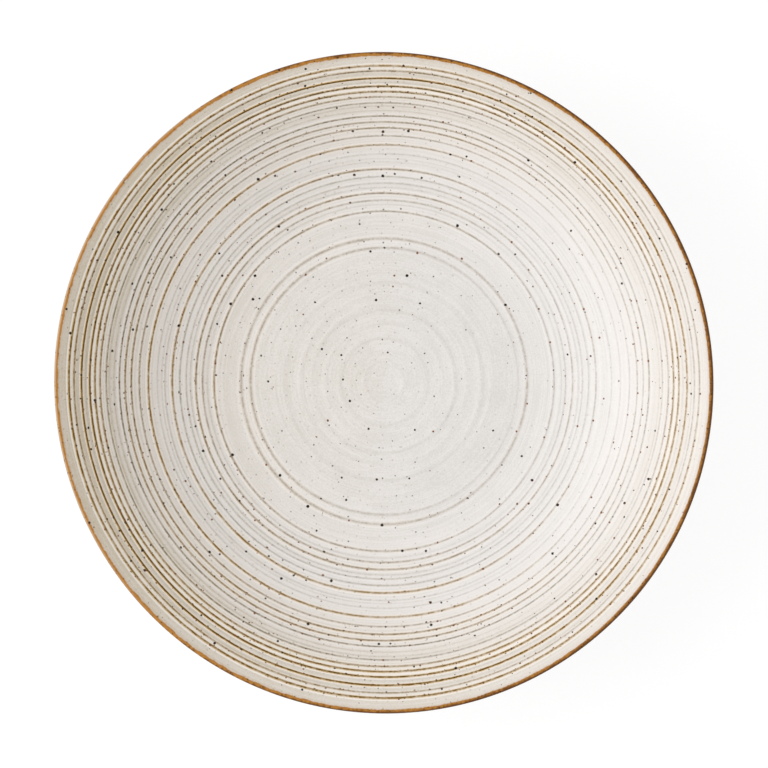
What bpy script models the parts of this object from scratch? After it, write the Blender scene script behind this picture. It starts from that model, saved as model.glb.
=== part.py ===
"""Soup plate in glazed stoneware: a turned clay body, three coats of glaze and an iron band on the lip.

Metres, +Z up. The plate's axis is Z, and the origin is the middle of the plane that its foot stands on.
"""

from math import acos, asin, cos, pi, radians, sin

import bmesh
import bpy
from mathutils import Vector

# The finished plate, measured over its glaze
RIM_RADIUS = 0.120
PLATE_HEIGHT = 0.046
WELL_RADIUS = 0.050
FLARE_SLOPE = radians(40)
FLOOR_THICKNESS = 0.0058
LIP_THICKNESS = 0.0020

# The foot ring, which stands out a little further than the edge of the well
FOOT_HEIGHT = 0.0032
FOOT_WIDTH = 0.0040
FOOT_STANDOUT = 0.0060
FOOT_TAPER = 0.0015
FOOT_ROUNDING = 0.0007

# The glaze, the gap that stands for its bond with the clay, and the clay left bare round the foot
GLAZE_THICKNESS = 0.0004
BOND_GAP = 0.0002
BARE_MARGIN = 0.0010

# The iron band on the lip, as wide as it shows from above
BAND_WIDTH = 0.0014

# Throwing rings: their crests' height, and the furthest that a groove slopes away from a crest
RING_HEIGHT = 0.0004
GROOVE_REACH = 0.0025

# Where the rings lie, by their share of the way up the wall from the edge of the well to the lip
RING_SHARES = (
    0.003, 0.048, 0.175, 0.229, 0.263, 0.311, 0.342, 0.380, 0.457, 0.504, 0.555,
    0.597, 0.632, 0.666, 0.739, 0.774, 0.803, 0.832, 0.877, 0.916, 0.946,
)

# How finely the rounds are divided, the angles over which an edge stays sharp, and the weld distance
TURN_STEPS = 52
WALL_STEPS = 8
LIP_STEPS = 6
CORNER_STEPS = 2
SHARP_EDGE = radians(40)
SHARP_CREST = radians(16)
WELD = 0.000001

# Finishes as linear colour and roughness
CLAY = (0.50, 0.37, 0.25), 0.85
PALE_GLAZE = (0.73, 0.70, 0.66), 0.40
IRON_GLAZE = (0.33, 0.16, 0.06), 0.40

# Heights and depths that follow from the sizes above
FLOOR_TOP = FOOT_HEIGHT + FLOOR_THICKNESS
COAT = GLAZE_THICKNESS + BOND_GAP
LIP_RADIUS = LIP_THICKNESS / 2


def wall_curve():
    """Radius of the arc that leaves the well level, and length of the straight flare from it to the lip."""
    reach = RIM_RADIUS - LIP_RADIUS * (1 + sin(FLARE_SLOPE)) - WELL_RADIUS
    rise = PLATE_HEIGHT - LIP_RADIUS * (1 - cos(FLARE_SLOPE)) - FLOOR_TOP
    radius = (reach * sin(FLARE_SLOPE) - rise * cos(FLARE_SLOPE)) / (1 - cos(FLARE_SLOPE))
    return radius, (reach - radius * sin(FLARE_SLOPE)) / cos(FLARE_SLOPE)


ARC_RADIUS, FLARE_LENGTH = wall_curve()
ARC_LENGTH = ARC_RADIUS * FLARE_SLOPE
WALL_LENGTH = ARC_LENGTH + FLARE_LENGTH


def wall_point(share, depth):
    """Point at a share of the way up the wall, at a depth under the finished inside."""
    slope = min(share * WALL_LENGTH / ARC_RADIUS, FLARE_SLOPE)
    straight = max(share * WALL_LENGTH - ARC_LENGTH, 0.0)
    radius = ARC_RADIUS + depth
    outward = WELL_RADIUS + radius * sin(slope) + straight * cos(slope)
    return outward, FLOOR_TOP + ARC_RADIUS - radius * cos(slope) + straight * sin(slope)


def wall_thickness(share):
    """The wall thins evenly from the floor to the lip."""
    return FLOOR_THICKNESS + (LIP_THICKNESS - FLOOR_THICKNESS) * share


def outside_point(share, depth):
    """Point at a share of the way up the wall, at a depth under the finished outside."""
    return wall_point(share, wall_thickness(share) - depth)


def outside_share(standout):
    """Share of the way up the wall where its outside lies this far out from the edge of the well."""
    return asin(standout / (ARC_RADIUS + FLOOR_THICKNESS)) * ARC_RADIUS / WALL_LENGTH


def lip_point(turn, depth):
    """Point of the lip's half round, from its inner side at turn 0 to its outer side at turn 1."""
    middle_radius, middle_height = wall_point(1, LIP_RADIUS)
    angle = pi / 2 + FLARE_SLOPE - pi * turn
    radius = LIP_RADIUS - depth
    return middle_radius + radius * cos(angle), middle_height + radius * sin(angle)


def inside_point(distance, height):
    """Point at a distance from the axis along the finished inside, raised by a height square to it."""
    if distance <= WELL_RADIUS:
        return distance, FLOOR_TOP + height
    return wall_point((distance - WELL_RADIUS) / WALL_LENGTH, -height)


def evenly(start, end, steps):
    """Values from start to end, both included."""
    return [start + (end - start) * step / steps for step in range(steps + 1)]


def lip_run(start, end, depth):
    """Points of the lip's round between two turns."""
    return [lip_point(turn, depth) for turn in evenly(start, end, LIP_STEPS)]


def rounded(before, corner, after):
    """Points of a corner of the foot, eased by a curve that is limited by the sides it joins."""
    before, corner, after = Vector(before), Vector(corner), Vector(after)
    side_in, side_out = before - corner, after - corner
    reach = min(FOOT_ROUNDING, side_in.length / 2, side_out.length / 2)
    start = corner + side_in.normalized() * reach
    end = corner + side_out.normalized() * reach
    curve = []
    for share in evenly(0, 1, CORNER_STEPS):
        point = start.lerp(corner, share).lerp(corner.lerp(end, share), share)
        curve.append((point.x, point.y))
    return curve


# Where the iron band starts on the lip, and half the gap between two coats as turn and as share of the wall
BAND_START = (pi / 2 + FLARE_SLOPE - acos((LIP_RADIUS - BAND_WIDTH) / LIP_RADIUS)) / pi
HALF_GAP_TURN = BOND_GAP / 2 / (pi * LIP_RADIUS)
HALF_GAP_SHARE = BOND_GAP / 2 / WALL_LENGTH

# The foot's radii from the outside in, and where the outer wall meets the foot and the end of its glaze
FOOT_TOP_RADIUS = WELL_RADIUS + FOOT_STANDOUT
CONTACT_OUTER = FOOT_TOP_RADIUS - FOOT_TAPER
CONTACT_INNER = CONTACT_OUTER - FOOT_WIDTH
RECESS_RADIUS = CONTACT_INNER - FOOT_TAPER
FOOT_SHARE = outside_share(FOOT_STANDOUT)
GLAZE_END_SHARE = outside_share(FOOT_STANDOUT + BARE_MARGIN)

# Steps that the clay shares with the coats that lie on it
INSIDE_SHARES = evenly(0, 1, WALL_STEPS)
OUTSIDE_SHARES = evenly(1 - HALF_GAP_SHARE, GLAZE_END_SHARE, WALL_STEPS)


def foot_section():
    """The foot from the outer wall, over its contact face, to the axis under the floor."""
    wall_end = outside_point(GLAZE_END_SHARE, COAT)
    top = outside_point(FOOT_SHARE, COAT)
    outer = (CONTACT_OUTER, 0.0)
    inner = (CONTACT_INNER, 0.0)
    recess = (RECESS_RADIUS, FOOT_HEIGHT + COAT)
    middle = (0.0, FOOT_HEIGHT + COAT)
    section = rounded(wall_end, top, outer)
    section += rounded(top, outer, inner)
    section += rounded(outer, inner, recess)
    section += rounded(inner, recess, middle)
    return section + [middle]


def body_section():
    """Clay from the axis over the well, the wall and the lip, and back down the outside to the foot."""
    section = [(0.0, FLOOR_TOP - COAT)]
    section += [wall_point(share, COAT) for share in INSIDE_SHARES]
    section += lip_run(0, 1, COAT)[1:-1]
    section += [outside_point(share, COAT) for share in OUTSIDE_SHARES]
    return section + foot_section()


def ring_crests():
    """Distances of the rings' crests from the axis along the inside."""
    return [WELL_RADIUS + WALL_LENGTH * share for share in RING_SHARES]


def ringed_inside():
    """The finished inside from the axis to the lip: crests, with finger grooves between them."""
    crests = ring_crests()
    inside_end = WELL_RADIUS + WALL_LENGTH
    surface = [inside_point(0.0, 0.0), inside_point(crests[0] - GROOVE_REACH, 0.0)]
    for crest, after in zip(crests, crests[1:] + [inside_end]):
        surface.append(inside_point(crest, RING_HEIGHT))
        half_way = (after - crest) / 2
        if half_way <= GROOVE_REACH:
            surface.append(inside_point(crest + half_way, 0.0))
        else:
            surface.append(inside_point(crest + GROOVE_REACH, 0.0))
            surface.append(inside_point(after - GROOVE_REACH, 0.0))
    return surface


def inside_glaze_section():
    """The inside coat, from the axis to the iron band on the lip and back along the clay."""
    lip_end = BAND_START - HALF_GAP_TURN
    section = ringed_inside()
    section += lip_run(0, lip_end, 0.0)
    section += lip_run(lip_end, 0, GLAZE_THICKNESS)[:-1]
    section += [wall_point(share, GLAZE_THICKNESS) for share in reversed(INSIDE_SHARES)]
    return section + [(0.0, FLOOR_TOP - GLAZE_THICKNESS)]


def rim_band_section():
    """The iron band, over the lip from its crest to the foot of its outer half."""
    start = BAND_START + HALF_GAP_TURN
    end = 1 - HALF_GAP_TURN
    return lip_run(start, end, 0.0) + lip_run(end, start, GLAZE_THICKNESS)


def outside_glaze_section():
    """The outside coat, from the iron band down to the bare foot and back up along the clay."""
    section = [outside_point(share, 0.0) for share in OUTSIDE_SHARES]
    section += [outside_point(share, GLAZE_THICKNESS) for share in reversed(OUTSIDE_SHARES)]
    return section


def base_glaze_section():
    """The coat of the recess inside the foot."""
    radius = RECESS_RADIUS - BARE_MARGIN
    top = FOOT_HEIGHT + GLAZE_THICKNESS
    return [(0.0, top), (radius, top), (radius - GLAZE_THICKNESS, FOOT_HEIGHT), (0.0, FOOT_HEIGHT)]


def finish(name, colour, roughness):
    """A Principled material of one colour."""
    material = bpy.data.materials.new(name)
    material.use_nodes = True
    shader = material.node_tree.nodes["Principled BSDF"]
    shader.inputs["Base Color"].default_value = (*colour, 1.0)
    shader.inputs["Roughness"].default_value = roughness
    shader.inputs["Metallic"].default_value = 0.0
    return material


def turned(name, section, look, parent, sharp=SHARP_EDGE):
    """An object turned about Z from its section, which is closed on the axis or back to its start."""
    shape = bmesh.new()
    points = [shape.verts.new((radius, 0.0, height)) for radius, height in section]
    lines = [shape.edges.new(pair) for pair in zip(points, points[1:])]
    if section[0][0] > 0:
        lines.append(shape.edges.new((points[-1], points[0])))
    bmesh.ops.spin(
        shape, geom=points + lines, cent=(0, 0, 0), axis=(0, 0, 1),
        angle=2 * pi, steps=TURN_STEPS, use_merge=True,
    )
    bmesh.ops.remove_doubles(shape, verts=shape.verts, dist=WELD)
    bmesh.ops.recalc_face_normals(shape, faces=shape.faces)
    mesh = bpy.data.meshes.new(name)
    shape.to_mesh(mesh)
    shape.free()
    mesh.shade_smooth()
    mesh.set_sharp_from_angle(angle=sharp)
    mesh.materials.append(finish(name, *look))
    piece = bpy.data.objects.new(name, mesh)
    piece.parent = parent
    bpy.context.collection.objects.link(piece)


def clear_scene():
    """Remove every object that is already there."""
    for old in list(bpy.data.objects):
        bpy.data.objects.remove(old, do_unlink=True)


def main():
    clear_scene()
    plate = bpy.data.objects.new("soup_plate", None)
    bpy.context.collection.objects.link(plate)
    turned("stoneware_body", body_section(), CLAY, plate)
    turned("inside_glaze", inside_glaze_section(), PALE_GLAZE, plate, SHARP_CREST)
    turned("rim_band", rim_band_section(), IRON_GLAZE, plate)
    turned("outside_glaze", outside_glaze_section(), PALE_GLAZE, plate)
    turned("base_glaze", base_glaze_section(), PALE_GLAZE, plate)


main()
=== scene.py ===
"""Looks of the soup plate: finely turned coats of glaze on a clay body, with camera, soft light and floor.

Metres, +Z up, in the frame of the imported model.
"""

from math import acos, asin, cos, pi, radians, sin

import bpy
import numpy as np
from mathutils import Matrix, Vector


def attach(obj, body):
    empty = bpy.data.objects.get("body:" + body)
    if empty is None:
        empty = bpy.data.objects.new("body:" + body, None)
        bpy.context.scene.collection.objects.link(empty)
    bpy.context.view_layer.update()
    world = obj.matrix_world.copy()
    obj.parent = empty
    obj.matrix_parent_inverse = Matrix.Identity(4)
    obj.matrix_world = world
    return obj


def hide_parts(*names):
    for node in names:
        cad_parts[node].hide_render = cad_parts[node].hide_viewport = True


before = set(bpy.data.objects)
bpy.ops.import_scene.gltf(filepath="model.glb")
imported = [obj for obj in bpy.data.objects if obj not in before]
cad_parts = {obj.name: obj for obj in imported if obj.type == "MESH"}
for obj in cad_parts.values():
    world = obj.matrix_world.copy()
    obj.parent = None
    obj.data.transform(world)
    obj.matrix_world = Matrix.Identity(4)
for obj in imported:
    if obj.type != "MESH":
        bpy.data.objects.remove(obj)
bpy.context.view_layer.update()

# The finished plate, measured over its glaze
RIM_RADIUS = 0.120
PLATE_HEIGHT = 0.046
WELL_RADIUS = 0.050
FLARE_SLOPE = radians(40)
FLOOR_THICKNESS = 0.0058
LIP_THICKNESS = 0.0020
FOOT_HEIGHT = 0.0032
FOOT_WIDTH = 0.0040
FOOT_STANDOUT = 0.0060
FOOT_TAPER = 0.0015
FOOT_ROUNDING = 0.0007
BARE_MARGIN = 0.0010
BAND_WIDTH = 0.0014
GLAZE = 0.0004
GLAZE_ROLL = 2 * GLAZE
CLAY_DEPTH = 0.00045
MILLIMETRE = 0.001

# Hue of the glaze where it breaks, from grey, which is partly painted shade of the rings' relief, to rust,
# and how much it falls towards the plate's far side
GREY = 0.20
TAN = 0.66
GOLD = 0.88
RUST = 1.15
HUE_FALL = 0.18

# Rings of the inner wall: radius in millimetres, how far thin and thick glaze break over it, and their hue
RINGS = (
    (50.25, 0.27, 0.07, RUST), (53.8, 0.28, 0.20, RUST), (63.9, 0.47, 0.20, TAN),
    (66.5, 0.10, 0.05, GREY), (68.1, 0.37, 0.16, TAN), (70.7, 0.56, 0.23, TAN),
    (72.75, 0.16, 0.08, GREY), (74.25, 0.23, 0.13, GREY), (76.6, 0.32, 0.13, GREY),
    (79.3, 0.58, 0.20, GOLD), (82.0, 0.17, 0.03, GREY), (83.15, 0.08, 0.03, GREY),
    (84.75, 0.15, 0.12, GREY), (87.95, 0.63, 0.10, RUST), (91.15, 0.43, 0.14, TAN),
    (93.85, 0.66, 0.24, TAN), (95.95, 0.58, 0.20, TAN), (97.95, 0.58, 0.30, GREY),
    (99.85, 0.13, 0.03, GREY), (101.4, 0.14, 0.08, GREY), (102.45, 0.47, 0.16, GREY),
    (104.55, 0.55, 0.29, TAN), (106.3, 0.76, 0.44, GOLD), (108.1, 1.12, 0.51, GOLD),
    (109.45, 0.12, 0.08, GREY), (110.85, 1.24, 0.52, RUST), (112.3, 0.07, 0.06, TAN),
    (113.3, 0.57, 0.25, TAN), (115.0, 0.80, 0.28, RUST),
)

# Width of a ring, and how many of the first rings are wider
RING_WIDTH = 0.00045
FIRST_RINGS = 2
FIRST_RING_WIDTH = 0.00062

# Height of a ring over which the glaze breaks fully, and the share of it that every ring has
RING_HEIGHT = 0.00026
LEAST_HEIGHT = 0.25

# Soft rings of the well: radius in millimetres, and how far the glaze breaks over it, a faint grey line
# that is painted shade of their low relief
WELL_RINGS = (
    (7.5, 0.015), (16.4, 0.045), (21.9, 0.015), (27.0, 0.050), (31.6, 0.015), (37.2, 0.045), (40.5, 0.010),
)
WELL_RING_WIDTH = 0.0010
WELL_RING_HEIGHT = 0.00010
WELL_RING_VARIES = 0.7

# Fainter rings outside: share of the way up the wall, how far the glaze breaks over it, and its hue there
OUTSIDE_RINGS = (
    (0.955, 0.30, TAN), (0.915, 0.16, GREY), (0.868, 0.34, TAN), (0.815, 0.14, GREY), (0.772, 0.22, GREY),
    (0.703, 0.30, TAN), (0.655, 0.12, GREY), (0.598, 0.20, GREY), (0.520, 0.28, TAN), (0.462, 0.12, GREY),
    (0.390, 0.22, TAN), (0.318, 0.16, GREY), (0.240, 0.26, TAN), (0.175, 0.14, GREY),
)

# The outside glaze ends as if over a ring: how far it breaks, and its hue there
GLAZE_END_RING = (0.75, RUST)

# Turned surfaces: columns round the axis, rows over a ring in its widths, steps of rows, and sharp edges
COLUMNS = 304
RING_ROWS = (-1.6, -0.9, -0.4, 0.0, 0.4, 0.9, 1.6)
CLOSEST_ROWS = 0.00012
WIDEST_ROWS = 0.0015
SHARP_EDGE = radians(50)

# Rows of the stretches that have no rings
LIP_ROWS = 14
UNDER_LIP_ROWS = 4
CLAY_ROWS = 40
HIDDEN_ROWS = 10
ROLL_ROWS = 7
RECESS_ROWS = 12
RECESS_SHOWN_ROWS = 30
CORNER_ROWS = 6

# How far from a ring, in its widths, the hidden side of a coat counts as
HIDDEN_OFFSET = 9

# Chance: its seed, the waves of a random curve round the plate, and how a ring wanders and varies along it
SEED = 20
WAVES = 7
RING_WANDER = 0.00009
RING_VARIES = 0.14

# The side where the glaze lies thickest
THICK_SIDE = radians(-8)

# Over the rings, by share of the way up the wall, that side turns to an angle in degrees, and it narrows
THICK_TURNS = ((0.0, -18.0), (0.20, -14.0), (0.27, 12.0), (0.60, 4.0), (0.92, -6.0), (0.945, 18.0))
NARROWS_AT_WELL = 1.2
NARROWS_AT_LIP = 2.0

# Warmth of thin glaze, which also darkens the left of the well and inner wall as painted shade: in the
# well, on the wall from a distance on, and the distances of its rise to full
WELL_WARMTH = 0.24
WALL_WARMTH = 0.32
WALL_WARMTH_FULL = 0.062
WARM_START = 0.083
WARM_END = 0.116

# How far that warmth and painted shade fade on the thick side, and how narrow that side is
WARM_FADE = 0.74
WARM_NARROWS = 0.9

# The outer rings stand a little off the rim's middle, fully so from a distance along the wall
RINGS_ASIDE = 0.00036
RINGS_ASIDE_START = 0.062
RINGS_ASIDE_FULL = 0.100
RINGS_ASIDE_TURN = radians(65)

# The rim is a little out of round, from a radius outwards
OVAL = 0.00042
OVAL_START = 0.085
OVAL_TURN = radians(-60)

# The plate's height wavers round it, in two waves, the more the higher
RIM_WAVER = 0.00012
WAVER_POWER = 3
WAVER_WAVES = (3, 5)
WAVER_PHASE = 1

# How far aside the pattern of specks is taken for the outside and the base, so that theirs differ
OUTSIDE_ASIDE = 1.0
BASE_ASIDE = 2.0

# Sizes that follow from those above
FLOOR_TOP = FOOT_HEIGHT + FLOOR_THICKNESS
LIP_RADIUS = LIP_THICKNESS / 2


def wall_curve():
    """Radius of the arc that leaves the well level, and length of the straight flare from it to the lip."""
    reach = RIM_RADIUS - LIP_RADIUS * (1 + sin(FLARE_SLOPE)) - WELL_RADIUS
    rise = PLATE_HEIGHT - LIP_RADIUS * (1 - cos(FLARE_SLOPE)) - FLOOR_TOP
    radius = (reach * sin(FLARE_SLOPE) - rise * cos(FLARE_SLOPE)) / (1 - cos(FLARE_SLOPE))
    return radius, (reach - radius * sin(FLARE_SLOPE)) / cos(FLARE_SLOPE)


ARC_RADIUS, FLARE_LENGTH = wall_curve()
ARC_LENGTH = ARC_RADIUS * FLARE_SLOPE
WALL_LENGTH = ARC_LENGTH + FLARE_LENGTH
LIP_START = WELL_RADIUS + WALL_LENGTH
LIP_MIDDLE = np.array((RIM_RADIUS - LIP_RADIUS, PLATE_HEIGHT - LIP_RADIUS))
BAND_TURN = pi / 2 + FLARE_SLOPE - acos((LIP_RADIUS - BAND_WIDTH) / LIP_RADIUS)
BAND_START = LIP_START + LIP_RADIUS * BAND_TURN
BAND_END = LIP_START + LIP_RADIUS * pi
ANGLES = np.linspace(0, 2 * pi, COLUMNS, endpoint=False)

# The foot's radii from the outside in, and the share of the wall where the outside glaze ends
CONTACT_OUTER = WELL_RADIUS + FOOT_STANDOUT - FOOT_TAPER
CONTACT_INNER = CONTACT_OUTER - FOOT_WIDTH
RECESS_RADIUS = CONTACT_INNER - FOOT_TAPER
FOOT_SHARE = asin(FOOT_STANDOUT / (ARC_RADIUS + FLOOR_THICKNESS)) * ARC_RADIUS / WALL_LENGTH
GLAZE_END_SHARE = FOOT_SHARE + BARE_MARGIN / WALL_LENGTH

chance = np.random.default_rng(SEED)


def wall_points(along, depth):
    """Points of the wall and its slope, by distance up it from the well and depth under the inside."""
    slope = np.minimum(along / ARC_RADIUS, FLARE_SLOPE)
    straight = np.maximum(along - ARC_LENGTH, 0.0)
    radius = ARC_RADIUS + depth
    outward = WELL_RADIUS + radius * np.sin(slope) + straight * np.cos(slope)
    height = FLOOR_TOP + ARC_RADIUS - radius * np.cos(slope) + straight * np.sin(slope)
    return np.column_stack((outward, height)), slope


def inside_path(distance):
    """Points and outward normals of the finished inside, by distance from the axis, on over the lip."""
    points, slope = wall_points(np.clip(distance - WELL_RADIUS, 0.0, WALL_LENGTH), 0.0)
    points[:, 0] -= np.maximum(WELL_RADIUS - distance, 0.0)
    turn = np.maximum(distance - LIP_START, 0.0) / LIP_RADIUS
    lean = slope - turn
    normals = np.column_stack((-np.sin(lean), np.cos(lean)))
    return np.where(turn[:, None] > 0, LIP_MIDDLE + LIP_RADIUS * normals, points), normals


def outside_path(share):
    """Points and outward normals of the finished outside, by share of the way up the wall."""
    thickness = FLOOR_THICKNESS + (LIP_THICKNESS - FLOOR_THICKNESS) * share
    points, slope = wall_points(WALL_LENGTH * share, thickness)
    return points, np.column_stack((np.sin(slope), -np.cos(slope)))


def each_column(values):
    """Values of rows, alike in every column."""
    return np.repeat(values[:, None], COLUMNS, axis=1)


def underside(points, normals):
    """The hidden side of a coat of glaze, under points of its finished side."""
    return each_column(points - GLAZE * normals)


def wander(rows):
    """Smooth random curves round the plate, one for each row, that reach 1 or -1."""
    curves = np.zeros((rows, COLUMNS))
    for wave in range(1, WAVES + 1):
        phase = chance.uniform(0, 2 * pi, (rows, 1))
        curves += np.cos(wave * ANGLES + phase) * chance.normal(0, 1, (rows, 1)) / wave ** 0.5
    return curves / np.abs(curves).max(axis=1, keepdims=True)


def handmade(points):
    """Points of the plate moved as a hand would leave them: a rim that is out of round and wavers."""
    radius = np.hypot(points[..., 0], points[..., 1])
    angle = np.arctan2(points[..., 1], points[..., 0])
    share = np.clip((radius - OVAL_START) / (RIM_RADIUS - OVAL_START), 0, 1)
    grown = radius + OVAL * share * np.cos(2 * (angle - OVAL_TURN))
    first, second = WAVER_WAVES
    wave = (np.sin(first * angle) + np.cos(second * angle + WAVER_PHASE)) / 2
    lift = RIM_WAVER * (points[..., 2] / PLATE_HEIGHT) ** WAVER_POWER * wave
    return np.stack((grown * np.cos(angle), grown * np.sin(angle), points[..., 2] + lift), axis=-1)


def swept(section):
    """A grid of points: a section of radii and heights, or one for each column, turned about the axis."""
    each = section if section.ndim == 3 else section[:, None]
    radius, height = np.moveaxis(np.broadcast_to(each, (len(section), COLUMNS, 2)), -1, 0)
    return np.stack((radius * np.cos(ANGLES), radius * np.sin(ANGLES), height), axis=-1)


def joined(values, closed):
    """Values of a grid in the order of the mesh's vertices. An open grid has one vertex at either end."""
    flat = values.reshape(len(values) * COLUMNS, -1)
    return flat if closed else np.concatenate((flat[:1], flat[COLUMNS:-COLUMNS], flat[-1:]))


def grid_faces(rows, closed):
    """Faces of a grid that is closed along its rows, or runs from the axis and back to it."""
    index = np.arange(rows * COLUMNS).reshape(rows, COLUMNS)
    if not closed:
        index = np.maximum(index - (COLUMNS - 1), 0)
        index[-1] = index[-1, 0]
    quads = []
    for upper, lower in zip(index, np.roll(index, -1, axis=0)[: rows if closed else rows - 1]):
        corners = np.stack((upper, lower, np.roll(lower, -1), np.roll(upper, -1)), axis=1)
        quads += [tuple(dict.fromkeys(corner)) for corner in corners.tolist()]
    return quads


def turned(name, grid, slot, node, material, closed, **attributes):
    """A piece of the plate from its grid, riding on the plate in place of a node of the model."""
    mesh = bpy.data.meshes.new(name)
    mesh.from_pydata(joined(handmade(grid), closed).tolist(), [], grid_faces(len(grid), closed))
    for label, values in attributes.items():
        flat = np.ascontiguousarray(joined(values, closed), np.float32)
        vector = flat.shape[1] == 3
        made = mesh.attributes.new(label, "FLOAT_VECTOR" if vector else "FLOAT", "POINT")
        made.data.foreach_set("vector" if vector else "value", flat.ravel())
    mesh.shade_smooth()
    mesh.set_sharp_from_angle(angle=SHARP_EDGE)
    mesh.materials.append(material)
    piece = bpy.data.objects.new(name, mesh)
    bpy.context.collection.objects.link(piece)
    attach(piece, "root")
    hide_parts(node)


def round_plate(distance):
    """For rows at distances along the surface: place round the plate as cosine, sine and millimetres."""
    rows = each_column(distance)
    turns = np.broadcast_to(ANGLES, rows.shape)
    return np.stack((np.cos(turns), np.sin(turns), rows / MILLIMETRE), axis=-1)


def unrolled(distance, aside):
    """For rows at distances from the axis along the surface: their place on it, laid out flat."""
    rows = each_column(distance)
    return np.stack((rows * np.cos(ANGLES) + aside, rows * np.sin(ANGLES), np.zeros(rows.shape)), axis=-1)


def over_lip(distance):
    """How far rows lie past the start of the lip, in millimetres along the surface."""
    return each_column((distance - LIP_START) / MILLIMETRE)


def ring_places(radii):
    """Distances of rings from the axis along the inside, for radii in millimetres."""
    radius = radii * MILLIMETRE
    outward = np.maximum(radius - WELL_RADIUS, 0.0)
    on_arc = np.minimum(outward, ARC_RADIUS * sin(FLARE_SLOPE))
    on_flare = (outward - on_arc) / cos(FLARE_SLOPE)
    return np.minimum(radius, WELL_RADIUS) + np.arcsin(on_arc / ARC_RADIUS) * ARC_RADIUS + on_flare


def rows_over_rings(places, widths, needed):
    """Rows of a surface: those needed, close ones over every ring, one half way between, no wide steps."""
    kept = list(needed) + list(places) + list((places[1:] + places[:-1]) / 2)
    for place, width in zip(places, widths):
        for row in place + width * np.array(RING_ROWS):
            if min(needed) < row < max(needed) and np.abs(np.array(kept) - row).min() > CLOSEST_ROWS:
                kept.append(row)
    kept = np.unique(kept)
    rows = [kept[0]]
    for row in kept[1:]:
        steps = int(np.ceil((row - rows[-1]) / WIDEST_ROWS))
        rows += list(np.linspace(rows[-1], row, steps + 1)[1:])
    return np.array(rows)


def ring_hues(hues):
    """Hues of rings round the plate: a little greyer towards its far side."""
    return hues[:, None] * (1 - HUE_FALL * np.sin(ANGLES))


def ring_heights(breaks):
    """Heights of rings round the plate, by how far the glaze breaks over them."""
    return RING_HEIGHT * (LEAST_HEIGHT + (1 - LEAST_HEIGHT) * breaks)


def relief(rows, places, widths, heights):
    """How far rings raise the rows of a surface, round the plate."""
    return np.exp(-((rows[:, None] - places) / widths) ** 2) @ heights


def ring_marks(rows, hidden_rows, places, widths, breaks, hues):
    """What a coat's material knows of the rings, for rows that show and for others on its hidden side."""
    nearest = np.abs(rows[:, None] - places).argmin(axis=1)
    offset = np.abs(rows - places[nearest]) / widths[nearest]
    hidden = np.zeros((hidden_rows, COLUMNS))
    return {
        "ring_offset": np.concatenate((each_column(offset), hidden + HIDDEN_OFFSET)),
        "ring_strength": np.concatenate((breaks[nearest], hidden)),
        "ring_hue": np.concatenate((hues[nearest], hidden)),
    }


def thick_side(power, middle=THICK_SIDE):
    """How thick the glaze lies round the plate, from 0 to 1, on a side that a higher power narrows."""
    return ((1 + np.cos(ANGLES - middle)) / 2) ** power


def thick_over_rings(places):
    """How thick the glaze lies over rings round the plate, on a side that turns and narrows up the wall."""
    up_wall = (places[:, None] - WELL_RADIUS) / WALL_LENGTH
    power = NARROWS_AT_WELL + (NARROWS_AT_LIP - NARROWS_AT_WELL) * up_wall
    return thick_side(power, np.radians(np.interp(up_wall, *np.array(THICK_TURNS).T)))


def thin_glaze_and_lamp_side(distance):
    """How thin and warm the glaze is at rows along the surface: more so towards the rim, and most on the
    lamp's side, where it paints shade on the well and inner wall and light on the lip's iron.
    """
    up_wall = np.clip((distance - WARM_START) / (WARM_END - WARM_START), 0, 1)[:, None]
    outer = up_wall * up_wall * (3 - 2 * up_wall)
    side = thick_side(WARM_NARROWS)
    inner = np.interp(distance, (WELL_RADIUS, WALL_WARMTH_FULL), (WELL_WARMTH, WALL_WARMTH))[:, None]
    return outer * (1 - WARM_FADE * side) + (1 - outer) * inner * (1 - side)


def glaze_marks(distance, aside=0.0):
    """What a coat's material knows of its rows: how thin the glaze is, and places round and on it."""
    return {
        "thin": thin_glaze_and_lamp_side(distance),
        "along": round_plate(distance),
        "unrolled": unrolled(distance, aside),
    }


def inside_rings():
    """Rings of the inside: places and widths, and their break, height and hue round the plate."""
    radii, thin, thick, hue = np.array(RINGS).T
    well_radii, well_breaks_and_shade = np.array(WELL_RINGS).T
    soft = len(WELL_RINGS)
    places = ring_places(np.concatenate((well_radii, radii)))
    widths = np.full(len(places), RING_WIDTH)
    widths[:soft] = WELL_RING_WIDTH
    widths[soft:soft + FIRST_RINGS] = FIRST_RING_WIDTH
    uneven = wander(len(places))
    varied = 1 + RING_VARIES * uneven
    breaks = np.zeros((len(places), COLUMNS))
    # The well's faint grey lines: painted shade of their low relief
    breaks[:soft] = well_breaks_and_shade[:, None]
    breaks[soft:] = thin[:, None] + (thick - thin)[:, None] * thick_over_rings(places[soft:])
    breaks *= varied
    heights = ring_heights(breaks) * varied
    heights[:soft] = WELL_RING_HEIGHT * (1 + WELL_RING_VARIES * uneven[:soft])
    return places, widths, breaks, heights, ring_hues(np.concatenate((np.zeros(soft), hue)))


def ring_drift(rows, places):
    """How far rows move along the inside, because the rings wander and stand off the rim's middle."""
    anchors = np.concatenate(([0.0], places, [LIP_START]))
    aside = np.clip((places - RINGS_ASIDE_START) / (RINGS_ASIDE_FULL - RINGS_ASIDE_START), 0, 1)[:, None]
    off_middle = RINGS_ASIDE * aside * np.cos(ANGLES - RINGS_ASIDE_TURN)
    drift = np.zeros((len(anchors), COLUMNS))
    drift[1:-1] = RING_WANDER * wander(len(places)) + off_middle
    weights = np.stack([np.interp(rows, anchors, unit) for unit in np.eye(len(anchors))], axis=1)
    return weights @ drift


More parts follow.
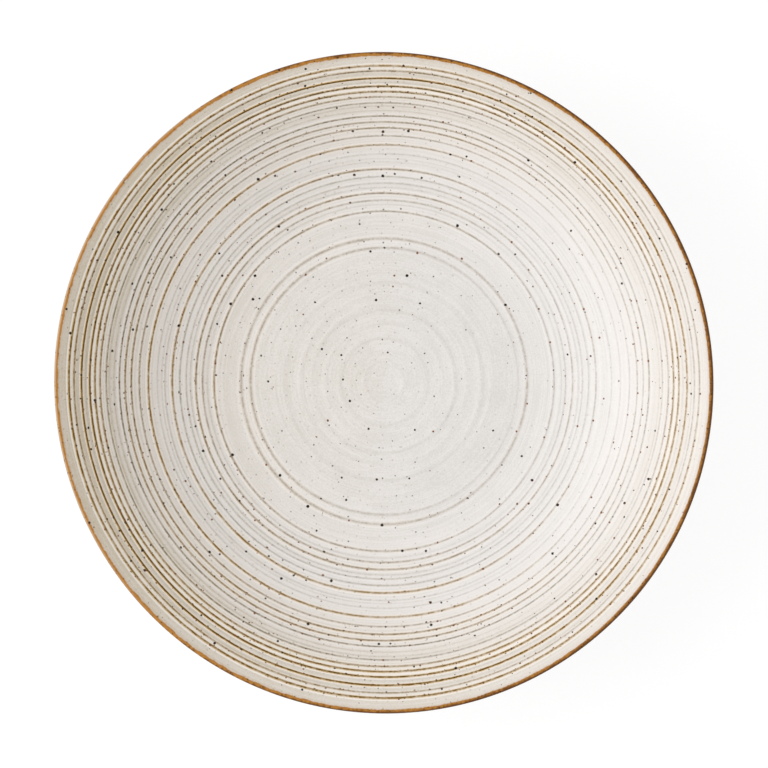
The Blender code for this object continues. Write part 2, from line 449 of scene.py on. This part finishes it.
def make_inside_coat():
    """The glaze of the well and inner wall, with its throwing rings as relief and where it breaks."""
    places, widths, breaks, heights, hues = inside_rings()
    rows = rows_over_rings(places, widths, [0.0, *np.linspace(LIP_START, BAND_START, LIP_ROWS)])
    points, normals = inside_path(rows)
    tangents = np.column_stack((normals[:, 1], -normals[:, 0]))
    drift = ring_drift(rows, places)
    raised = relief(rows, places, widths, heights)
    top = points[:, None] + drift[..., None] * tangents[:, None] + raised[..., None] * normals[:, None]
    under_lip = np.linspace(BAND_START, LIP_START, UNDER_LIP_ROWS)
    below = np.concatenate((under_lip, np.linspace(LIP_START, 0, HIDDEN_ROWS)[1:]))
    bottom = underside(*inside_path(below))
    both = np.concatenate((rows, below))
    turned(
        "inside_glaze_coat", swept(np.concatenate((top, bottom))), "inside_glaze", "inside_glaze",
        inside_glaze_look(), closed=False,
        over_lip=over_lip(both),
        **ring_marks(rows, len(below), places, widths, breaks, hues),
        **glaze_marks(both),
    )


def make_rim_band():
    """The iron glaze over the lip."""
    rows = np.linspace(BAND_START, BAND_END, 2 * LIP_ROWS)
    points, normals = inside_path(rows)
    section = np.concatenate((points, (points - GLAZE * normals)[::-1]))
    both = np.concatenate((rows, rows[::-1]))
    turned(
        "rim_iron_band", swept(section), "iron_band", "rim_band", rim_band_look(), closed=True,
        over_lip=over_lip(both),
        **glaze_marks(both),
    )


def make_outside_coat():
    """The glaze of the outer wall with faint rings, from the iron band to its rolled edge over the foot."""
    shares, strength, hue = np.array((*OUTSIDE_RINGS, (GLAZE_END_SHARE, *GLAZE_END_RING))).T
    places = (1 - shares) * WALL_LENGTH
    widths = np.full(len(places), RING_WIDTH)
    end = places[-1]
    rolled = end - GLAZE_ROLL * (1 - np.sin(np.linspace(0, pi / 2, ROLL_ROWS)))
    rows = rows_over_rings(places[:-1], widths[:-1], [0.0, *rolled])
    points, normals = outside_path(1 - rows / WALL_LENGTH)
    breaks = strength[:, None] * (1 + RING_VARIES * wander(len(places)))
    heights = ring_heights(breaks)
    heights[-1] = 0.0
    roll = np.clip((rows - end + GLAZE_ROLL) / GLAZE_ROLL, 0, 1)
    raised = relief(rows, places, widths, heights) - (GLAZE * (1 - np.sqrt(1 - roll ** 2)))[:, None]
    outer = points[:, None] + raised[..., None] * normals[:, None]
    below = np.linspace(end, 0, HIDDEN_ROWS)[1:]
    inner = underside(*outside_path(1 - below / WALL_LENGTH))
    from_band = np.concatenate((rows, below))
    from_axis = LIP_START - from_band
    turned(
        "outside_glaze_coat", swept(np.concatenate((outer, inner))), "outside_glaze", "outside_glaze",
        outside_glaze_look(), closed=True,
        over_lip=over_lip(BAND_END + from_band),
        **ring_marks(rows, len(below), places, widths, breaks, ring_hues(hue)),
        **glaze_marks(from_axis, OUTSIDE_ASIDE),
    )


def make_base_coat():
    """The glaze of the recess inside the foot."""
    edge = RECESS_RADIUS - BARE_MARGIN
    hidden = np.linspace(0, edge, RECESS_ROWS)
    shown = np.linspace(edge - GLAZE, 0, RECESS_SHOWN_ROWS)
    radius = np.concatenate((hidden, shown))
    height = np.concatenate((np.full(len(hidden), FOOT_HEIGHT + GLAZE), np.full(len(shown), FOOT_HEIGHT)))
    turned(
        "base_glaze_coat", swept(np.column_stack((radius, height))), "base_glaze", "base_glaze",
        base_glaze_look(), closed=False,
        **glaze_marks(radius, BASE_ASIDE),
    )


def rounded(before, corner, after):
    """Points of a corner of the foot, eased by a curve."""
    before, corner, after = np.array(before), np.array(corner), np.array(after)
    start = corner + (before - corner) / np.linalg.norm(before - corner) * FOOT_ROUNDING
    end = corner + (after - corner) / np.linalg.norm(after - corner) * FOOT_ROUNDING
    curve = []
    for share in np.linspace(0, 1, CORNER_ROWS):
        curve.append((1 - share) ** 2 * start + 2 * share * (1 - share) * corner + share ** 2 * end)
    return curve


def make_clay_body():
    """The clay under the glaze, which shows bare on the foot."""
    up_wall = np.linspace(0, LIP_START, CLAY_ROWS)
    on_lip = np.linspace(LIP_START, BAND_END, LIP_ROWS)[1:]
    inside, inside_normals = inside_path(np.concatenate((up_wall, on_lip)))
    outside, outside_normals = outside_path(np.linspace(1, GLAZE_END_SHARE, CLAY_ROWS)[1:])
    foot, foot_normals = outside_path(np.array([GLAZE_END_SHARE, FOOT_SHARE]))
    wall_end, top = foot - CLAY_DEPTH * foot_normals
    contact_outer = (CONTACT_OUTER, 0.0)
    contact_inner = (CONTACT_INNER, 0.0)
    recess = (RECESS_RADIUS, FOOT_HEIGHT + CLAY_DEPTH)
    middle = (0.0, FOOT_HEIGHT + CLAY_DEPTH)
    section = list(inside - CLAY_DEPTH * inside_normals)
    section += list(outside - CLAY_DEPTH * outside_normals)
    section += rounded(wall_end, top, contact_outer)
    section += rounded(top, contact_outer, contact_inner)
    section += rounded(contact_outer, contact_inner, recess)
    section += rounded(contact_inner, recess, middle)
    section.append(np.array(middle))
    turned(
        "bare_clay_body", swept(np.array(section)), "bare_clay", "stoneware_body",
        bare_clay_look(), closed=False,
    )


class Look:
    """A Principled material, with short calls that add nodes to it."""

    def __init__(self, name):
        self.material = bpy.data.materials.new(name)
        self.material.use_nodes = True
        self.tree = self.material.node_tree
        self.shader = self.tree.nodes["Principled BSDF"]

    def feed(self, socket, value):
        """Link a socket to an output, or set its own value."""
        if isinstance(value, bpy.types.NodeSocket):
            self.tree.links.new(value, socket)
        else:
            socket.default_value = value

    def attribute(self, name, output):
        """An attribute of the mesh, as Vector or as Fac."""
        node = self.tree.nodes.new("ShaderNodeAttribute")
        node.attribute_name = name
        return node.outputs[output]

    def position(self):
        """The place of a point on the plate."""
        return self.tree.nodes.new("ShaderNodeTexCoord").outputs["Object"]

    def math(self, operation, first, second, clamp=False):
        """What an operation makes of two numbers or sockets."""
        node = self.tree.nodes.new("ShaderNodeMath")
        node.operation = operation
        node.use_clamp = clamp
        self.feed(node.inputs[0], first)
        self.feed(node.inputs[1], second)
        return node.outputs[0]

    def ease(self, value, start, end, low=0.0, high=1.0):
        """A smooth step of a value from low at start to high at end."""
        node = self.tree.nodes.new("ShaderNodeMapRange")
        node.interpolation_type = "SMOOTHSTEP"
        for socket, number in zip(node.inputs, (value, start, end, low, high)):
            self.feed(socket, number)
        return node.outputs[0]

    def scaled(self, vector, factors):
        """A vector with each part scaled by itself."""
        node = self.tree.nodes.new("ShaderNodeVectorMath")
        node.operation = "MULTIPLY"
        self.feed(node.inputs[0], vector)
        node.inputs[1].default_value = factors
        return node.outputs[0]

    def parts(self, vector):
        """The three parts of a vector."""
        node = self.tree.nodes.new("ShaderNodeSeparateXYZ")
        self.feed(node.inputs[0], vector)
        return node.outputs

    def noise(self, vector, scale, detail):
        """Soft noise from 0 to 1."""
        node = self.tree.nodes.new("ShaderNodeTexNoise")
        self.feed(node.inputs["Vector"], vector)
        node.inputs["Scale"].default_value = scale
        node.inputs["Detail"].default_value = detail
        return node.outputs["Fac"]

    def swing(self, vector, scale, detail, weight):
        """Soft noise about 0, up to half of its weight either way."""
        return self.math("MULTIPLY", self.math("SUBTRACT", self.noise(vector, scale, detail), 0.5), weight)

    def mix(self, share, first, second):
        """A colour between two others."""
        node = self.tree.nodes.new("ShaderNodeMix")
        node.data_type = "RGBA"
        for socket, value in zip((node.inputs[0], node.inputs[6], node.inputs[7]), (share, first, second)):
            self.feed(socket, value)
        return node.outputs[2]

    def bump(self, height, distance, strength):
        """Fine relief on the shader's normal."""
        node = self.tree.nodes.new("ShaderNodeBump")
        node.inputs["Distance"].default_value = distance
        node.inputs["Strength"].default_value = strength
        self.feed(node.inputs["Height"], height)
        self.tree.links.new(node.outputs["Normal"], self.shader.inputs["Normal"])


# Colours as linear red, green, blue and alpha
COOL_GLAZE = (0.703, 0.684, 0.656, 1)
CREAM_GLAZE = (0.829, 0.800, 0.774, 1)
POOLED_GLAZE = (0.900, 0.866, 0.848, 1)
GOLDEN_GLAZE = (0.945, 0.888, 0.820, 1)
# Warm glaze, darker than the pale: also painted shade on the left of the well and inner wall
WARM_GLAZE_AND_SHADE = (0.655, 0.563, 0.420, 1)
AMBER_BREAK = (0.565, 0.302, 0.004, 1)
# Grey of faint ring lines: glaze break, and painted shade of the rings' relief
GREY_BREAK_AND_SHADE = (0.150, 0.128, 0.080, 1)
OLIVE_BREAK = (0.062, 0.034, 0.001, 1)
DARK_IRON = (0.150, 0.052, 0.006, 1)
AMBER_IRON = (0.440, 0.190, 0.030, 1)
# Pale iron: the painted highlight of the lip's outside on the lamp's side
PALE_IRON = (0.530, 0.380, 0.255, 1)
DARK_SPECK = (0.012, 0.007, 0.003, 1)
BROWN_SPECK = (0.070, 0.026, 0.007, 1)
RUST_SPECK = (0.200, 0.065, 0.012, 1)
FAINT_SPECK = (0.250, 0.200, 0.140, 1)
PALE_CLAY = (0.520, 0.400, 0.280, 1)
DARK_CLAY = (0.400, 0.290, 0.190, 1)

# A noise is given by scale, detail and often weight, a step by its start, end and often its values there

# Tone of the pale glaze: streaks along the throwing, with their stretch, and clouds and grain that are even
STREAKS = (1.0, 3, 0.5)
STREAK_STRETCH = (2.5, 2.5, 1.3)
FINE_STREAKS = (1.0, 3, 1.4)
FINE_STRETCH = (1.5, 1.5, 2.6)
CLOUDS = (90, 4, 0.45)
GRAIN = (1700, 2, 1.15)
TONE = (-0.35, 0.35)

# By millimetres along the surface: where the wall begins, and where the glaze pools on it
WALL_BEGINS = (50.0, 62.0, 0.45, 1.0)
POOLS = (76.0, 94.0, 0.30, 0.62)
LESS_WARM_BY_TONE = (-0.25, 0.25, 1.0, 0.6)


def glaze_colour(look):
    """Pale glaze, with streaks left by throwing, soft clouds and fine grain, warmer and darker where it
    lies thin, which is painted shade on the left of the well and inner wall.
    """
    along = look.attribute("along", "Vector")
    distance = look.parts(along)["Z"]
    on_wall = look.ease(distance, *WALL_BEGINS)
    tone = look.math("MULTIPLY", look.swing(look.scaled(along, FINE_STRETCH), *FINE_STREAKS), on_wall)
    tone = look.math("ADD", tone, look.swing(look.scaled(along, STREAK_STRETCH), *STREAKS))
    for noise in (CLOUDS, GRAIN):
        tone = look.math("ADD", tone, look.swing(look.position(), *noise))
    pale = look.mix(look.ease(tone, *TONE), COOL_GLAZE, CREAM_GLAZE)
    pooled = look.math("MULTIPLY", on_wall, look.ease(distance, *POOLS))
    pale = look.mix(pooled, pale, POOLED_GLAZE)
    # Warm thin glaze, and painted shade on the left of the well and inner wall
    warmth_and_shade = look.math("MULTIPLY", look.attribute("thin", "Fac"), look.ease(tone, *LESS_WARM_BY_TONE))
    return look.mix(warmth_and_shade, pale, WARM_GLAZE_AND_SHADE)


# Lines over the rings: their ragged edge, the beads they break into, and patches of other hue
RAGGED_RINGS = (1400, 2, 0.5)
LARGE_BEADS = (300, 2)
SMALL_BEADS = (1100, 1)
BEADS = (0.70, 1.30, 0.58, 1.42)
HUE_PATCHES = (45, 3, 0.8)
HUE_BY_STRENGTH = (0.10, 0.60, 0.15, 1.0)

# By widths off the ring: pale seams beside a line, its stain and its dark core, and specks along it
SEAM_BEGINS = (1.0, 1.7)
SEAM_ENDS = (2.0, 3.2, 1.0, 0.0)
SEAM_STRENGTH = 1.35
SEAM_BY_HUE = (0.1, 0.8)
STAIN = (0.1, 2.1, 1.0, 0.0)
CORE = (0.20, 1.05, 1.0, 0.0)
CORE_BY_HUE = (0.0, 1.0, 1.32, 0.92)
SPECKS_ALONG = (0.8, 2.4, 0.52, 0.0)


def add_rings(look, colour):
    """Lines where the glaze breaks over the rings: grey and thin, partly painted shade of their relief, or
    stained amber with a dark core.
    """
    strength = look.attribute("ring_strength", "Fac")
    ragged = look.swing(look.position(), *RAGGED_RINGS)
    near = look.math("MAXIMUM", look.math("ADD", look.attribute("ring_offset", "Fac"), ragged), 0.0)
    large = look.noise(look.position(), *LARGE_BEADS)
    small = look.noise(look.position(), *SMALL_BEADS)
    beaded = look.math("MULTIPLY", strength, look.ease(look.math("ADD", large, small), *BEADS))
    hue = look.math("MULTIPLY", look.attribute("ring_hue", "Fac"), look.ease(strength, *HUE_BY_STRENGTH))
    rust = look.math("ADD", hue, look.swing(look.position(), *HUE_PATCHES), clamp=True)
    beside = look.math("MULTIPLY", look.ease(near, *SEAM_BEGINS), look.ease(near, *SEAM_ENDS))
    beside = look.math("MULTIPLY", beside, look.math("MULTIPLY", strength, SEAM_STRENGTH), clamp=True)
    colour = look.mix(beside, colour, look.mix(look.ease(rust, *SEAM_BY_HUE), POOLED_GLAZE, GOLDEN_GLAZE))
    rusty = look.math("MULTIPLY", beaded, rust, clamp=True)
    colour = look.mix(look.math("MULTIPLY", look.ease(near, *STAIN), rusty), colour, AMBER_BREAK)
    deep = look.math("MULTIPLY", beaded, look.ease(rust, *CORE_BY_HUE), clamp=True)
    core = look.math("MULTIPLY", look.ease(near, *CORE), deep)
    # Dark core: grey on faint rings, partly painted shade of their relief, olive on rusty ones
    colour = look.mix(core, colour, look.mix(rust, GREY_BREAK_AND_SHADE, OLIVE_BREAK))
    present = look.math("MULTIPLY", look.ease(near, *SPECKS_ALONG), strength)
    return add_specks(look, colour, present, **RING_SPECKS)


# Iron glaze: how far thin glaze draws its edge back, how rough it is there, and its noises
EDGE_BACK_BY_THIN = 0.3
ROUGH_BY_THIN = (0.25, 0.70, 0.55, 1.0)
RAGGED_EDGE = ((320, 3, 1.1), (1200, 3, 0.7))
IRON_TONES = ((160, 2, 1.5), (900, 2, 1.5))

# Amber of the iron: more where thin, less by depth, and less over the lip's outside unless it lies thin,
# which paints shade on that outside away from the lamp and light on it towards the lamp
AMBER_BY_THIN = 0.6
AMBER_BY_DEPTH = 0.35
SHADED_OUTER_LIP = (0.7, 1.8, 0.0, 1.5)
OUTER_LIP_THIN = 0.85
AMBER = (-0.25, 0.42)

# Painted highlight of the lip's outside on the lamp's side, by millimetres over it and by thinness, and
# halo, edge and specks by the iron's depth
LIP_HIGHLIGHT_OVER_LIP = (0.80, 1.45)
LIP_HIGHLIGHT_BY_THIN = (0.80, 0.94)
IRON_HALO = (-1.8, -0.5, 0.0, 0.13)
IRON_EDGE = (-0.60, -0.12)
SPECKS_IN_IRON = (-0.50, 0.10, 0.0, 0.40)


def add_iron(look, colour):
    """Iron glaze of the lip: amber at its ragged edge, darker outwards and where it lies thick, with
    painted shade on the lip's outside away from the lamp and a painted highlight on it towards the lamp.
    """
    outward = look.attribute("over_lip", "Fac")
    thin = look.attribute("thin", "Fac")
    first = look.math("SUBTRACT", outward, (BAND_START - LIP_START) / MILLIMETRE)
    last = look.math("SUBTRACT", (BAND_END - LIP_START) / MILLIMETRE, outward)
    depth = look.math("MINIMUM", first, last)
    depth = look.math("SUBTRACT", depth, look.math("MULTIPLY", thin, EDGE_BACK_BY_THIN))
    rough = look.ease(thin, *ROUGH_BY_THIN)
    for noise in RAGGED_EDGE:
        depth = look.math("ADD", depth, look.math("MULTIPLY", look.swing(look.position(), *noise), rough))
    amber = look.math("MULTIPLY", thin, AMBER_BY_THIN)
    for noise in IRON_TONES:
        amber = look.math("ADD", amber, look.math("MULTIPLY", look.swing(look.position(), *noise), rough))
    amber = look.math("SUBTRACT", amber, look.math("MULTIPLY", depth, AMBER_BY_DEPTH))
    # Painted shade and light: the lip's outside darker away from the lamp, a little lighter towards it
    outer_lip_shade = look.math("SUBTRACT", OUTER_LIP_THIN, thin)
    amber = look.math("SUBTRACT", amber, look.math("MULTIPLY", look.ease(outward, *SHADED_OUTER_LIP), outer_lip_shade))
    iron = look.mix(look.ease(amber, *AMBER), DARK_IRON, AMBER_IRON)
    # Painted highlight: the lip's outside paler on the side towards the lamp
    lip_highlight = look.math("MULTIPLY", look.ease(outward, *LIP_HIGHLIGHT_OVER_LIP), look.ease(thin, *LIP_HIGHLIGHT_BY_THIN))
    iron = look.mix(lip_highlight, iron, PALE_IRON)
    colour = look.mix(look.ease(depth, *IRON_HALO), colour, AMBER_IRON)
    colour = look.mix(look.ease(depth, *IRON_EDGE), colour, iron)
    return add_specks(look, colour, look.ease(depth, *SPECKS_IN_IRON), **IRON_SPECKS)


def speck_kind(cell, smallest, largest, hues, strength=1.0, edge=0.36):
    """A kind of speck: cell of its pattern and radii in metres, two hues, strength and soft edge."""
    return {"cell": cell, "sizes": (smallest, largest), "hues": hues, "strength": strength, "edge": edge}


# Kinds of specks along the rings, in the iron, and loose in the glaze
RING_SPECKS = speck_kind(0.0021, 0.00023, 0.00050, (RUST_SPECK, DARK_SPECK))
IRON_SPECKS = speck_kind(0.0015, 0.00014, 0.00036, (DARK_SPECK, DARK_IRON), strength=0.85)
FAINT_SPECKS = speck_kind(0.0044, 0.00028, 0.00050, (FAINT_SPECK, FAINT_SPECK), strength=0.34, edge=0.80)
SMALL_SPECKS = speck_kind(0.0064, 0.00019, 0.00036, (DARK_SPECK, BROWN_SPECK), strength=0.80)
BOLD_SPECKS = speck_kind(0.0095, 0.00037, 0.00062, (DARK_SPECK, BROWN_SPECK), edge=0.26)

# Share of the cells that hold a loose speck of each kind, and what is left of it where the glaze lies thick
LOOSE_SPECKS = ((0.90, FAINT_SPECKS), (0.62, SMALL_SPECKS), (0.32, BOLD_SPECKS))
THICK_SPECKS = 0.28
TOWARDS_THICK = (0.0, 0.9)

# Shape of a speck: most are small, with a ragged outline out to a reach in radii, few of the second hue
MOSTLY_SMALL = 1.5
RAGGED_SPECKS = (2200, 1, 0.8)
SPECK_REACH = 1.08
SECOND_HUE = (0.6, 0.9)


def add_specks(look, colour, present, cell, sizes, hues, strength, edge):
    """Iron specks in a share of the cells of a random pattern that lies flat on the unrolled surface."""
    place = look.attribute("unrolled", "Vector")
    pattern = look.tree.nodes.new("ShaderNodeTexVoronoi")
    pattern.voronoi_dimensions = "2D"
    look.feed(pattern.inputs["Vector"], place)
    pattern.inputs["Scale"].default_value = 1 / cell
    random = look.tree.nodes.new("ShaderNodeSeparateColor")
    look.feed(random.inputs[0], pattern.outputs["Color"])
    wide, rank, hue = random.outputs
    smallest, largest = sizes
    size = look.math("MULTIPLY", look.math("POWER", wide, MOSTLY_SMALL), (largest - smallest) / cell)
    size = look.math("ADD", size, smallest / cell)
    reach = look.math("DIVIDE", pattern.outputs["Distance"], size)
    reach = look.math("ADD", reach, look.swing(place, *RAGGED_SPECKS))
    dot = look.ease(reach, SPECK_REACH - edge, SPECK_REACH, strength, 0.0)
    dot = look.math("MULTIPLY", dot, look.math("LESS_THAN", rank, present))
    return look.mix(dot, colour, look.mix(look.ease(hue, *SECOND_HUE), *hues))


def add_loose_specks(look, colour):
    """Faint soft specks deep in the glaze, small ones and bold ones, fewer where the glaze lies thick."""
    towards = look.parts(look.attribute("along", "Vector"))["X"]
    for share, kind in LOOSE_SPECKS:
        present = look.ease(towards, *TOWARDS_THICK, share, THICK_SPECKS * share)
        colour = add_specks(look, colour, present, **kind)
    return colour


# The glaze's satin sheen: noise of its roughness, shine, and fine bumps with their height and strength
SHEEN = (350, 3)
SHEEN_ROUGHNESS = (0.3, 0.7, 0.40, 0.54)
SHINE = 0.22
GLAZE_BUMPS = (1300, 2)
GLAZE_BUMP_HEIGHT = 0.00003
GLAZE_BUMP_STRENGTH = 0.5


def glazed(name, *layers):
    """A glazed material: pale glaze, layers of colour over it, loose specks, and a soft uneven sheen."""
    look = Look(name)
    colour = glaze_colour(look)
    for add_layer in (*layers, add_loose_specks):
        colour = add_layer(look, colour)
    look.feed(look.shader.inputs["Base Color"], colour)
    sheen = look.noise(look.position(), *SHEEN)
    look.feed(look.shader.inputs["Roughness"], look.ease(sheen, *SHEEN_ROUGHNESS))
    look.shader.inputs["Specular IOR Level"].default_value = SHINE
    look.bump(look.noise(look.position(), *GLAZE_BUMPS), GLAZE_BUMP_HEIGHT, GLAZE_BUMP_STRENGTH)
    return look.material


def inside_glaze_look():
    """Pale glaze with rings and specks, and the edge of the iron band."""
    return glazed("inside_glaze", add_rings, add_iron)


def rim_band_look():
    """The iron band, where pale glaze laps over its inner edge."""
    return glazed("rim_band", add_iron)


def outside_glaze_look():
    """Pale glaze with rings and specks, and the lower edge of the iron band."""
    return glazed("outside_glaze", add_rings, add_iron)


def base_glaze_look():
    """Pale glaze with specks."""
    return glazed("base_glaze")


# Bare clay: noises, the grain's share of the tone, and roughness and height of the grain
CLAY_GRAIN = (1800, 3)
CLAY_CLOUDS = (150, 3)
CLAY_GRAIN_SHARE = 0.6
CLAY_TONE = (0.35, 0.65)
CLAY_ROUGHNESS = (0.3, 0.7, 0.75, 0.92)
CLAY_BUMP_HEIGHT = 0.00006
CLAY_BUMP_STRENGTH = 0.7


def bare_clay_look():
    """Fired clay, dry and grainy."""
    look = Look("bare_clay")
    grain = look.noise(look.position(), *CLAY_GRAIN)
    clouds = look.noise(look.position(), *CLAY_CLOUDS)
    tone = look.math("MULTIPLY", grain, CLAY_GRAIN_SHARE)
    tone = look.math("ADD", tone, look.math("MULTIPLY", clouds, 1 - CLAY_GRAIN_SHARE))
    look.feed(look.shader.inputs["Base Color"], look.mix(look.ease(tone, *CLAY_TONE), DARK_CLAY, PALE_CLAY))
    look.feed(look.shader.inputs["Roughness"], look.ease(grain, *CLAY_ROUGHNESS))
    look.bump(grain, CLAY_BUMP_HEIGHT, CLAY_BUMP_STRENGTH)
    return look.material


# The photograph's framing: the rim's radius and centre in its 768 pixels, and how the camera leans
PICTURE = 768
RIM_PIXELS = 330.4
RIM_MIDDLE = (383.3, 382.2)
CAMERA_DISTANCE = 1.0
CAMERA_LEAN = (0.0040, 0.0210)
SENSOR = 36.0


def add_camera():
    """A camera above the plate that leans a little, as far off as its rings' shift shows."""
    pixel = RIM_RADIUS / RIM_PIXELS
    widest = PLATE_HEIGHT - LIP_RADIUS
    middle = (PICTURE - 1) / 2
    lean = Vector((*CAMERA_LEAN, 0.0))
    aim = Vector(((middle - RIM_MIDDLE[0]) * pixel, (RIM_MIDDLE[1] - middle) * pixel, widest))
    aim += lean * RIM_RADIUS ** 2 / CAMERA_DISTANCE
    data = bpy.data.cameras.new("camera")
    data.sensor_width = SENSOR
    data.lens = SENSOR * CAMERA_DISTANCE / (PICTURE * pixel)
    camera = bpy.data.objects.new("camera", data)
    camera.location = Vector((0, 0, widest)) + (lean + Vector((0, 0, 1))) * CAMERA_DISTANCE
    forward = (aim - camera.location).normalized()
    right = forward.cross(Vector((0, 1, 0))).normalized()
    upward = right.cross(forward)
    camera.rotation_euler = Matrix((right, upward, -forward)).transposed().to_euler()
    bpy.context.collection.objects.link(camera)
    bpy.context.scene.camera = camera


# Light: a large soft lamp on the left, and a surround that lights evenly and looks white
KEY_DIRECTION = (-0.77, 0.04, 0.64)
KEY_DISTANCE = 1.3
KEY_SIZE = 0.9
KEY_POWER = 8.6
WHITE = (1, 1, 1, 1)
SURROUND_LIGHT = 0.705
SURROUND_SEEN = 1.0


def looked_at(tree):
    """Whether a ray looks at a surface, straight, in a reflection or through another, or else lights it."""
    rays = tree.nodes.new("ShaderNodeLightPath")
    total = rays.outputs["Is Camera Ray"]
    for name in ("Is Glossy Ray", "Is Transmission Ray"):
        either = tree.nodes.new("ShaderNodeMath")
        either.operation = "MAXIMUM"
        tree.links.new(total, either.inputs[0])
        tree.links.new(rays.outputs[name], either.inputs[1])
        total = either.outputs[0]
    return total


def add_lights():
    """The lamp and the surround."""
    data = bpy.data.lights.new("key", "AREA")
    data.size = KEY_SIZE
    data.energy = KEY_POWER
    lamp = bpy.data.objects.new("key", data)
    lamp.location = Vector(KEY_DIRECTION).normalized() * KEY_DISTANCE
    lamp.rotation_euler = (-lamp.location).to_track_quat("-Z", "Y").to_euler()
    bpy.context.collection.objects.link(lamp)
    world = bpy.data.worlds.new("studio")
    bpy.context.scene.world = world
    world.use_nodes = True
    tree = world.node_tree
    strength = tree.nodes.new("ShaderNodeMix")
    tree.links.new(looked_at(tree), strength.inputs[0])
    strength.inputs[2].default_value = SURROUND_LIGHT
    strength.inputs[3].default_value = SURROUND_SEEN
    back = tree.nodes["Background"]
    back.inputs["Color"].default_value = WHITE
    tree.links.new(strength.outputs[0], back.inputs["Strength"])


# Floor: paint that lights the plate, and what is seen: a glow with fainter paint that takes the shadow
FLOOR_SIZE = 6.0
FLOOR_DROP = 0.00005
FLOOR_PAINT = (0.8, 0.8, 0.8, 1)
FLOOR_GLOW = 0.84
FLOOR_SHADE = (0.20, 0.20, 0.20, 1)


def floor_look():
    """White paint that looks evenly white and keeps a soft shadow."""
    material = bpy.data.materials.new("floor")
    material.use_nodes = True
    tree = material.node_tree
    tree.nodes.clear()
    paint = tree.nodes.new("ShaderNodeBsdfDiffuse")
    paint.inputs["Color"].default_value = FLOOR_PAINT
    shade = tree.nodes.new("ShaderNodeBsdfDiffuse")
    shade.inputs["Color"].default_value = FLOOR_SHADE
    glow = tree.nodes.new("ShaderNodeEmission")
    glow.inputs["Strength"].default_value = FLOOR_GLOW
    seen = tree.nodes.new("ShaderNodeAddShader")
    choice = tree.nodes.new("ShaderNodeMixShader")
    out = tree.nodes.new("ShaderNodeOutputMaterial")
    tree.links.new(glow.outputs[0], seen.inputs[0])
    tree.links.new(shade.outputs[0], seen.inputs[1])
    tree.links.new(looked_at(tree), choice.inputs[0])
    tree.links.new(paint.outputs[0], choice.inputs[1])
    tree.links.new(seen.outputs[0], choice.inputs[2])
    tree.links.new(choice.outputs[0], out.inputs["Surface"])
    return material


def add_floor():
    """A plain floor under the foot."""
    half = FLOOR_SIZE / 2
    mesh = bpy.data.meshes.new("floor")
    corners = ((-half, -half), (half, -half), (half, half), (-half, half))
    mesh.from_pydata([(*corner, -FLOOR_DROP) for corner in corners], [], [(0, 1, 2, 3)])
    mesh.materials.append(floor_look())
    floor = bpy.data.objects.new("floor", mesh)
    bpy.context.collection.objects.link(floor)


add_camera()
make_inside_coat()
make_rim_band()
make_outside_coat()
make_base_coat()
make_clay_body()
add_lights()
add_floor()
bpy.context.scene.view_settings.view_transform = "Standard"
